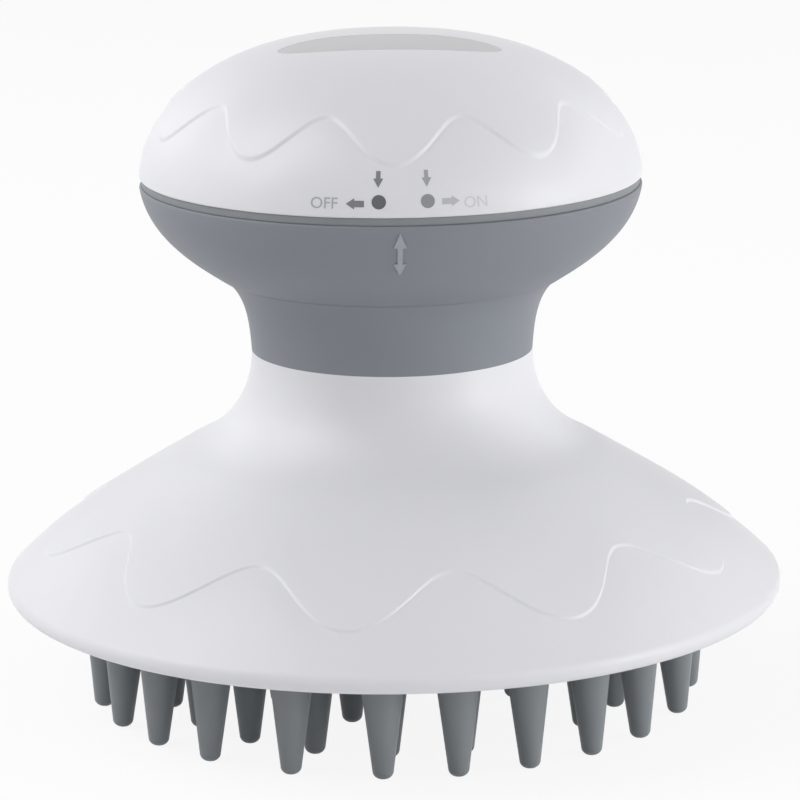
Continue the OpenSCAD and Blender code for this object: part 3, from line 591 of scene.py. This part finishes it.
# %% Neck with its spigot
NECK_Z, NECK_R, NECK_TOP_R = 50.0, 19.8, 23.8
NECK_WAIST, NECK_FLARE = (20.12, 54.6), (20.64, 58.24)      # handles of its curve
NECK_EDGE, NECK_EDGE_R = 0.2, 23.22     # its rounding draws the fine line under the bowl
NECK_IN_R, NECK_FLOOR = 20.9, 52
SPIGOT_R, SPIGOT_IN_R, SPIGOT_Z = 17.5, 15.6, 36.6
neck_curve = bezier((NECK_R, NECK_Z), NECK_WAIST, NECK_FLARE, (NECK_TOP_R, DECK_Z), 24)
neck_curve = [p for p in neck_curve if p[1] < DECK_Z - 2 * NECK_EDGE]
neck_curve += arc((NECK_EDGE_R, DECK_Z - NECK_EDGE), NECK_EDGE, -52, 90, 6)
neck_inside = [(NECK_IN_R, DECK_Z), (SPIGOT_R + 0.4, NECK_FLOOR + 0.2), (SPIGOT_R, NECK_FLOOR),
               (SPIGOT_IN_R, NECK_FLOOR)]
spigot = [(SPIGOT_IN_R, SPIGOT_Z), (SPIGOT_R, SPIGOT_Z), (SPIGOT_R, NECK_Z)]
neck = lathe("neck", neck_curve + neck_inside + spigot)
count(smooth(neck))

# %% [markdown]
# ## White bell
# The bell sweeps out from the neck in a concave curve that turns into an almost straight flank, and ends in
# a small round rim. Its outline is two curves and an arc. The wall is 2.2 mm, so the inside is the same
# line moved inwards.

# %% Bell
RIM_Z, RIM_R, RIM_EDGE = 15.4, 55.0, 1.6
BELL_WALL, BELL_BORE_R = 2.2, 17.6
BELL_CEILING = 41.0     # underside of the thick part round the spigot
FLANK_SLOPE, RIM_SLOPE = 31, 44         # in degrees
flank_top, flank_end = (RIM_R - 24.8, RIM_Z + 20.1), (RIM_R - 0.5, RIM_Z + 2.75)


def down(point, angle, length):
    """A point moved along a slope that falls outwards at an angle."""
    return point[0] + length * cos(radians(angle)), point[1] - length * sin(radians(angle))


bell_curve = (
    bezier((NECK_R, NECK_Z), (NECK_R, NECK_Z - 10.5), down(flank_top, FLANK_SLOPE, -2), flank_top, 60)[:-1]
    + bezier(flank_top, down(flank_top, FLANK_SLOPE, 18), down(flank_end, RIM_SLOPE, -8), flank_end, 60)
)
bell_skin = Skin(bell_curve)
bell_wave = Wave(bell_skin, low_z=22.6, high_z=28.35, low_angle=-7.3, width=0.55, step=0.28,
                 fade_up=9, fade_down=6)
bell_rows = bell_wave.rows(bell_skin.lengths[-1], above=30, below=10)
bell_inside = [p for p in bell_skin.moved_in(BELL_WALL, 24) if p[1] < BELL_CEILING]
lip_r = bell_inside[-1][0] - 0.3
bell_outline = (
    [bell_skin.at(d)[0] for d, share in bell_rows]
    + arc((RIM_R - RIM_EDGE, RIM_Z + RIM_EDGE), RIM_EDGE, 40, -90, 14)
    + [(lip_r + 0.3, RIM_Z), (lip_r, RIM_Z + 0.3)]
    + bell_inside[::-1]
    + [(bell_inside[0][0], BELL_CEILING), (BELL_BORE_R, BELL_CEILING), (BELL_BORE_R, NECK_Z)]
)
bell = lathe("white_bell", bell_outline)
bell_wave.press(bell, bell_rows)
count(smooth(bell))

# %% [markdown]
# ## Fingers
# A finger is a slender cone of soft rubber with a blunt round tip and a small flare where it grows out of
# the pad. One is turned for each ring, because they lean differently, and then it is copied round.

# %% One finger for each ring, copied round
PAD_Z, FINGER_R, TIP_R, TIP_FLAT = 15.9, 3.3, 1.45, 0.3
FLARE, SUNK = 0.45, 0.15        # how far the root spreads on the pad, and goes into it
OUTER_RING_R, OUTER_LEAN = 41.4, 2.5
MIDDLE_RING_R, MIDDLE_LEAN = 32.5, 1.25
INNER_RING_R = 18
QUARTERS = (0, 90, 180, 270)
GROUP_ANGLE, GROUP_STEP = 25.5, 13.9    # middle of a group of five, and from finger to finger in it
SINGLE_ANGLE = -19.5                    # the finger between two groups, where the other rings start too


def finger(name, ring_r, lean):
    """A finger that hangs from the pad in front, leaning outwards."""
    length = (PAD_Z + TIP_FLAT) / cos(radians(lean))
    tip = [(TIP_R * sin(radians(a)) ** 0.85, TIP_FLAT + (TIP_R - TIP_FLAT) * (1 - cos(radians(a))))
           for a in range(0, 91, 15)]
    tip[0] = (0, TIP_FLAT)
    cone = [(TIP_R + (FINGER_R - TIP_R) * t, TIP_R + (length - TIP_R) * t) for t in (0.25, 0.5, 0.75, 0.93)]
    flare = [(FINGER_R + 0.02, length - 0.5), (FINGER_R + 0.15, length - 0.2), (FINGER_R + FLARE, length)]
    shape = tip + cone + flare + [(FINGER_R + FLARE, length + SUNK), (0, length + SUNK)]
    obj = lathe(name, shape, steps=40, closed=False)
    obj.location = (0, -(ring_r + length * sin(radians(lean))) * MM, -TIP_FLAT * MM)
    obj.rotation_euler = (-radians(lean), 0, 0)
    bpy.ops.object.transform_apply(location=True, rotation=True, scale=True)
    return obj


def ring_of(name, pattern, angles):
    """Copies a finger to each angle, each copy with its own mesh, and joins them."""
    copies = []
    for angle in angles:
        copy = bpy.data.objects.new(name, pattern.data.copy())
        bpy.context.scene.collection.objects.link(copy)
        copy.data.transform(Matrix.Rotation(radians(angle), 4, "Z"))
        copies.append(copy)
    bpy.data.objects.remove(pattern)
    return count(smooth(join(name, copies), 60))


outer_angles = [GROUP_ANGLE + quarter + GROUP_STEP * k for quarter in QUARTERS for k in (-2, -1, 0, 1, 2)]
outer_angles += [quarter + SINGLE_ANGLE for quarter in QUARTERS]
middle_angles = [18 * i + SINGLE_ANGLE for i in range(20)]
inner_angles = [45 * i + SINGLE_ANGLE for i in range(8)]
fingers_outer = ring_of("fingers_outer", finger("outer", OUTER_RING_R, OUTER_LEAN), outer_angles)
fingers_middle = ring_of("fingers_middle", finger("middle", MIDDLE_RING_R, MIDDLE_LEAN), middle_angles)
inner_ring = ring_of("inner_ring", finger("inner", INNER_RING_R, 0), inner_angles)
centre_finger = ring_of("centre_finger", finger("centre", 0, 0), [0])
fingers_inner = join("fingers_inner", [inner_ring, centre_finger])

# %% [markdown]
# ## Printed marks
# OFF and ON, two dots and four small arrows are printed on the cap, in greys from dark to faint. Each is a
# flat shape, cut into small squares so that it can bend, given the thickness of ink, and laid on the dome.

# %% Laying a flat shape on a skin
SQUARE = 0.35       # side in mm of the squares that a shape is cut into


def lay(obj, skin, height, relief, wave=None):
    """Bends a flat shape on to a skin, so that it stands out by a relief in mm, also over a wave.

    Its x runs round the axis and its y = 0 lies at a height in mm."""
    only(obj)
    bpy.ops.object.mode_set(mode="EDIT")
    low = [min(v.co[k] for v in obj.data.vertices) for k in (0, 1)]
    high = [max(v.co[k] for v in obj.data.vertices) for k in (0, 1)]
    for k in (0, 1):
        for i in range(1, int((high[k] - low[k]) / (SQUARE * MM)) + 1):
            bpy.ops.mesh.select_all(action="SELECT")
            where = [0, 0, 0]
            where[k] = low[k] + i * SQUARE * MM
            facing = [0, 0, 0]
            facing[k] = 1
            bpy.ops.mesh.bisect(plane_co=where, plane_no=facing)
    bpy.ops.object.mode_set(mode="OBJECT")
    sheet = obj.modifiers.new("sheet", "SOLIDIFY")
    sheet.thickness = relief * 2 * MM       # half of it goes into the skin
    sheet.offset = 0
    bpy.ops.object.modifier_apply(modifier=sheet.name)
    start = skin.distance_at(height)
    radius = skin.at(start)[0][0]
    for v in obj.data.vertices:
        x, y, z = v.co / MM
        angle, distance = degrees(x / radius), start - y
        base = wave.lift(angle, distance) if wave else 0
        v.co = skin.place(angle, distance, base + z)
    only(obj)
    bpy.ops.object.mode_set(mode="EDIT")
    bpy.ops.mesh.select_all(action="SELECT")
    bpy.ops.mesh.normals_make_consistent(inside=False)
    bpy.ops.object.mode_set(mode="OBJECT")
    return obj


# %% Arrows, words and dots
def put(obj, place):
    """Moves a flat shape to a place in mm, and keeps its turn and its scale in the mesh."""
    obj.location = (place[0] * MM, place[1] * MM, 0)
    bpy.ops.object.transform_apply(location=True, rotation=True, scale=True)
    return obj


def arrow(place, angle, length, head, stem, double=False):
    """A flat arrow, its middle at a place, pointing along an angle. head is its length and width."""
    end, root = length / 2, length / 2 - head[0]
    front = [(root, -stem / 2), (root, -head[1] / 2), (end, 0), (root, head[1] / 2), (root, stem / 2)]
    back = [(-x, -y) for x, y in front] if double else [(-end, stem / 2), (-end, -stem / 2)]
    corners = front + back
    obj = drawn_line("arrow", [Vector((x, y, 0)) * MM for x, y in corners + corners[:1]])
    bpy.ops.mesh.remove_doubles(threshold=WELD)
    bpy.ops.mesh.edge_face_add()
    bpy.ops.object.mode_set(mode="OBJECT")
    obj.rotation_euler = (0, 0, radians(angle))
    return put(obj, place)


CAPITAL = 0.7       # height of a capital as a share of the letters' size


def word(text, place, height):
    """A short word, its middle at a place, with capitals of a height in mm."""
    bpy.ops.object.select_all(action="DESELECT")
    bpy.ops.object.text_add()
    letters = bpy.context.object.data
    letters.body = text
    letters.align_x = letters.align_y = "CENTER"
    letters.size = height * MM / CAPITAL
    letters.resolution_u = 4
    bpy.ops.object.convert(target="MESH")
    return put(bpy.context.object, place)


def dot(place, radius):
    """A flat round spot."""
    bpy.ops.object.select_all(action="DESELECT")
    bpy.ops.mesh.primitive_circle_add(vertices=40, radius=radius, fill_type="NGON")
    obj = bpy.context.object
    obj.scale = (MM, MM, 1)
    return put(obj, place)


# %% The marks on the cap
MARK_Z = 76.9       # height of the middle of the dots and words
INK = 0.03          # thickness of the print
# Places are in mm, to the right of the front and up from that height
pieces = {
    "print_off_dot": [dot((-1.6, 0.05), 0.95)],
    "print_off_arrows": [arrow((-1.7, 3.1), -90, 2.3, (1.25, 1.35), 0.6),
                         arrow((-4.75, -0.2), 180, 2.4, (1.1, 1.5), 0.85)],
    "print_off_word": [word("OFF", (-8.9, -0.25), 1.5)],
    "print_on_dot": [dot((4.86, 0.1), 0.93)],
    "print_on_arrow_down": [arrow((4.82, 3.15), -90, 2.3, (1.25, 1.3), 0.55)],
    "print_on_arrow": [arrow((7.95, 0.0), 0, 2.4, (1.1, 1.4), 0.8)],
    "print_on_word": [word("ON", (11.4, -0.35), 1.5)],
}
marks = {}
for name, shapes in pieces.items():
    marks[name] = count(lay(join(name, shapes), cap_skin, MARK_Z, INK, cap_wave))

# %% The raised double arrow on the bowl
ARROW_Z, ARROW_RELIEF = 69.5, 0.15
double = join("raised_arrow", [arrow((1.15, 0), 90, 7.1, (2.2, 1.7), 0.7, double=True)])
raised_arrow = count(lay(double, bowl_skin, ARROW_Z, ARROW_RELIEF))

# %% [markdown]
# ## White ABS
# Both white parts are ABS, moulded in a polished tool: bright, faintly blue, with soft reflections. A
# moulding is never quite even, so its colour drifts by a trace over a few centimetres, its shine over a few
# millimetres, and its skin has a very fine ripple.

# %% Finishes with a trace of unevenness
SHINE_SHARE = 0.2       # the shine changes over a fifth of the distance of the colour


def uneven(name, light, dark, drift_mm, roughness, grain_mm, bump_mm, **shader):
    """A finish whose colour drifts between two tones and whose skin has a fine grain, sizes in mm."""
    material = bpy.data.materials.new(name)
    tree = empty_tree(material)
    where = add_node(tree, "ShaderNodeTexCoord").outputs["Object"]
    drift = add_node(tree, "ShaderNodeTexNoise",
                     {"Vector": where, "Scale": 1 / (drift_mm * MM), "Detail": 3.0})
    tone = add_node(tree, "ShaderNodeMix", {"Factor": drift.outputs[0]}, data_type="RGBA")
    for socket, colour in (("A", dark), ("B", light)):
        next(s for s in tone.inputs if s.name == socket and s.type == "RGBA").default_value = linear(colour)
    shine = add_node(tree, "ShaderNodeTexNoise",
                     {"Vector": where, "Scale": 1 / (drift_mm * SHINE_SHARE * MM)})
    rough = add_node(tree, "ShaderNodeMapRange",
                     {"Value": shine.outputs[0], "To Min": roughness[0], "To Max": roughness[1]})
    grain = add_node(tree, "ShaderNodeTexNoise",
                     {"Vector": where, "Scale": 1 / (grain_mm * MM), "Detail": 4.0})
    bump = add_node(tree, "ShaderNodeBump",
                    {"Height": grain.outputs[0], "Strength": 1.0, "Distance": bump_mm * MM})
    colour = next(s for s in tone.outputs if s.type == "RGBA")
    shader = {"Base Color": colour, "Roughness": rough.outputs[0], "Normal": bump.outputs[0], **shader}
    skin = add_node(tree, "ShaderNodeBsdfPrincipled", shader)
    add_node(tree, "ShaderNodeOutputMaterial", {"Surface": skin.outputs[0]})
    return material


white_abs = uneven("white_abs", "#E6E6EA", "#E2E2E7", 30, (0.38, 0.44), 1.2, 0.004, IOR=1.53)

# %% [markdown]
# ## The other finishes
# The grey grip is ABS from a finely sparked tool, so it is satin. The raised arrow on it is smoother, and its
# paler grey is a painted highlight for the light that its relief catches. Ring and fingers are rubber, darker
# in the grain. Inside are steel, brass, a black moulding and the printed sleeves of the cells.

# %% Grey, rubber, ink and the inside
DULL = {"Specular IOR Level": 0.25}     # the pits of a sparked skin swallow half of the sheen
grey_abs = uneven("grey_abs", "#888C93", "#84888F", 25, (0.48, 0.56), 0.5, 0.006, IOR=1.53, **DULL)
# painted highlight: the raised arrow is the grip's grey, made paler here for the light that it catches
painted_highlight_grey = uneven("painted_highlight_grey", "#A0A5AC", "#9CA1A8", 25, (0.26, 0.32), 0.5, 0.003, IOR=1.53)
satin_plate = uneven("satin_plate", "#CACACC", "#C6C6C8", 12, (0.38, 0.46), 0.3, 0.004, IOR=1.5)
ring_rubber = uneven("ring_rubber", "#8D9094", "#84878B", 4, (0.55, 0.65), 0.3, 0.01, IOR=1.45)
finger_rubber = uneven("finger_rubber", "#8A8F93", "#84898D", 9, (0.42, 0.52), 0.25, 0.008, IOR=1.42)
black_moulding = uneven("black_moulding", "#2E3034", "#282A2D", 8, (0.45, 0.55), 0.4, 0.01, IOR=1.53)
steel = uneven("plated_steel", "#B4B6B9", "#A4A6AA", 3, (0.25, 0.36), 0.3, 0.004, Metallic=1.0)
motor_steel = uneven("drawn_steel", "#BDBFC2", "#AFB1B5", 6, (0.22, 0.34), 0.4, 0.004, Metallic=1.0)
brass = uneven("stamped_brass", "#C9B27A", "#BFA66C", 3, (0.28, 0.4), 0.3, 0.004, Metallic=1.0)
ferrite = uneven("ferrite", "#4A4A4E", "#3E3E42", 2, (0.6, 0.75), 0.3, 0.02, IOR=1.6)
sintered = uneven("sintered_weight", "#8F8B84", "#7F7B75", 2, (0.4, 0.55), 0.25, 0.015, Metallic=1.0)
sleeve = uneven("cell_sleeve", "#3F6E9A", "#396690", 10, (0.22, 0.3), 0.6, 0.004, IOR=1.5)
wire_cover = uneven("wire_cover", "#8E2A24", "#82241F", 3, (0.4, 0.5), 0.3, 0.006, IOR=1.5)
inks = {
    name: uneven(name.replace("print", "ink"), tone, tone, 1, (0.45, 0.55), 0.2, 0.003, IOR=1.5)
    for name, tone in {
        "print_off_dot": "#5E5F63", "print_off_arrows": "#7A7B7F", "print_off_word": "#AAACAF",
        "print_on_dot": "#8E8F93", "print_on_arrow_down": "#A2A2A6", "print_on_arrow": "#BCBCC0",
        "print_on_word": "#D2D2D6",
    }.items()
}

# %% [markdown]
# ## Putting it together
# Every piece rides on the body that it belongs to, hides the CAD parts that it stands for, and takes its
# finish.

# %% Bodies, replaced parts and finishes
def dress(obj, material, body, slot, *nodes):
    """Gives a piece its finish and its body, and hides the CAD parts that it stands for."""
    obj.data.materials.clear()
    obj.data.materials.append(material)
    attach(obj, body)
    if nodes:
        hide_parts(*nodes)


dress(white_cap, white_abs, "cap", "white_shell", "cap_shell")
dress(oval_plate, satin_plate, "cap", "badge", "badge_plate")
dress(rubber_ring, ring_rubber, "housing", "seal_rubber", "cap_seal")
dress(grip_bowl, grey_abs, "housing", "grey_shell", "grip_bowl")
dress(neck, grey_abs, "housing", "grey_shell", "neck_collar")
dress(bell, white_abs, "housing", "white_shell", "skirt_shell")
dress(fingers_outer, finger_rubber, "housing", "finger_rubber", "outer_fingers")
dress(fingers_middle, finger_rubber, "housing", "finger_rubber", "middle_fingers")
dress(fingers_inner, finger_rubber, "housing", "finger_rubber", "inner_fingers")
dress(raised_arrow, painted_highlight_grey, "housing", "grey_shell")
for name, obj in marks.items():
    dress(obj, inks[name], "cap", "grey_shell")

# %% Finishes of the CAD parts that stay
kept = {
    steel: ["lid_screw", "housing_screws", "cell_springs", "base_screws", "clamp_screws", "motor_shaft"],
    brass: ["switch_wiper", "lid_bridges", "switch_pads", "floor_contacts"],
    black_moulding: ["contact_lid", "neck_nut", "battery_tube", "motor_endcap", "motor_clamp"],
    grey_abs: ["base_plate"],
    finger_rubber: ["massage_pad"],
    motor_steel: ["motor_can", "motor_armature"],
    ferrite: ["motor_magnets"],
    sintered: ["eccentric_weight"],
    sleeve: ["battery_cells"],
    wire_cover: ["motor_leads"],
}
for material, names in kept.items():
    for name in names:
        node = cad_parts[name]
        node.data.materials.clear()
        node.data.materials.append(material)
